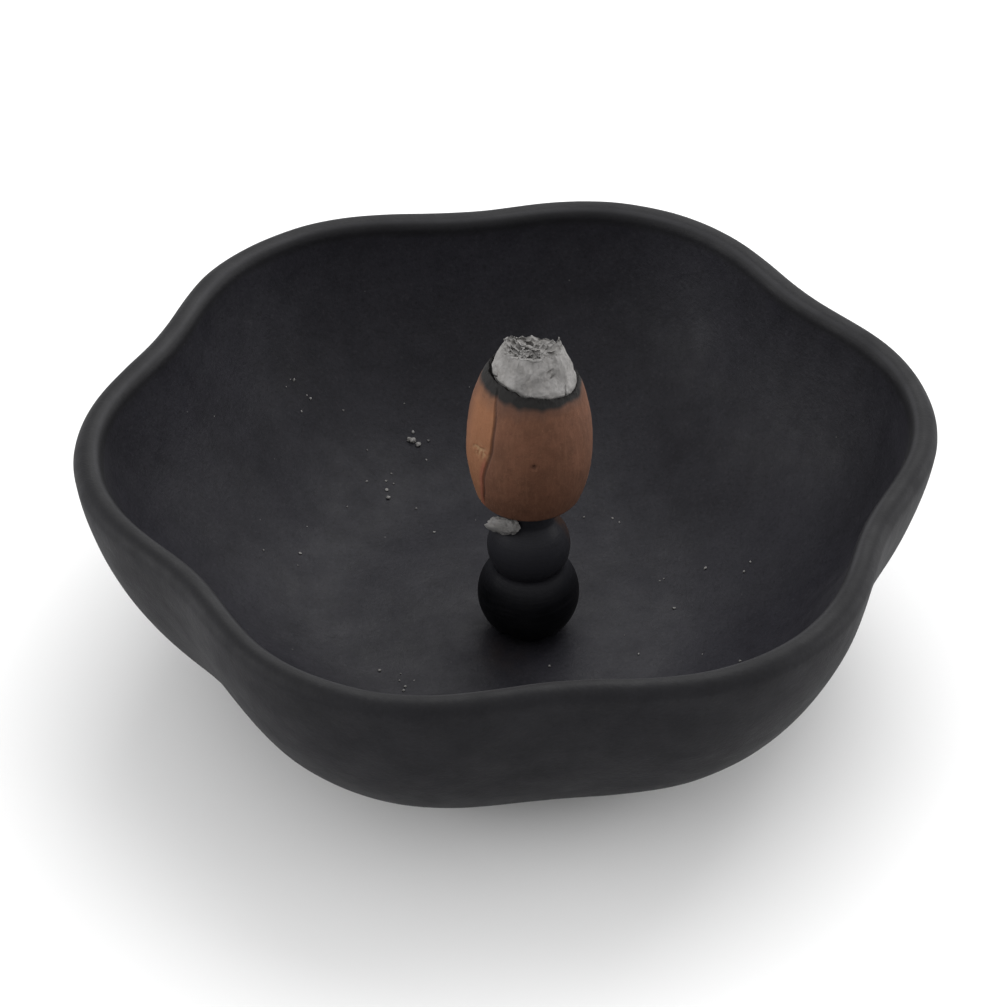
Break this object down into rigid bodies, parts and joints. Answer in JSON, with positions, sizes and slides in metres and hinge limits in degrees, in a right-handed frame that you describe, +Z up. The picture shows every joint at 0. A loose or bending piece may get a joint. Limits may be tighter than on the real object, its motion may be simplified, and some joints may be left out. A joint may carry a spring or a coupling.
{
  "type": "backflow incense burner",
  "caption": "Lobed matte black stoneware bowl with a gourd-shaped smoke post and a part-burnt backflow incense cone resting on it.",
  "frame": {"origin": "centre of the foot's underside, on the surface that the burner stands on", "axes": "+Z up; +X and -X point at opposite lobes; -Y is the front, a valley between two lobes; the post stands off-centre towards the lobe at -60 degrees from +X"},
  "size_m": [0.1, 0.0934, 0.0472],
  "materials": {
    "black_stoneware": "matte, unglazed, fine clay grain",
    "dark_stoneware": "satin, fine turning marks",
    "pressed_incense": "matte pressed powder, charred at the top",
    "incense_ash": "dry crumbly ash"
  },
  "bodies": {
    "burner": {"bowl": "black_stoneware", "gourd_post": "dark_stoneware"},
    "cone": {"incense_cone": "pressed_incense", "ash_cap": "incense_ash"}
  },
  "joints": [
    {"name": "cone_lift", "type": "slide", "parent": "burner", "child": "cone", "axis": [0, 0, 1], "range_m": [0, 0.04]}
  ]
}
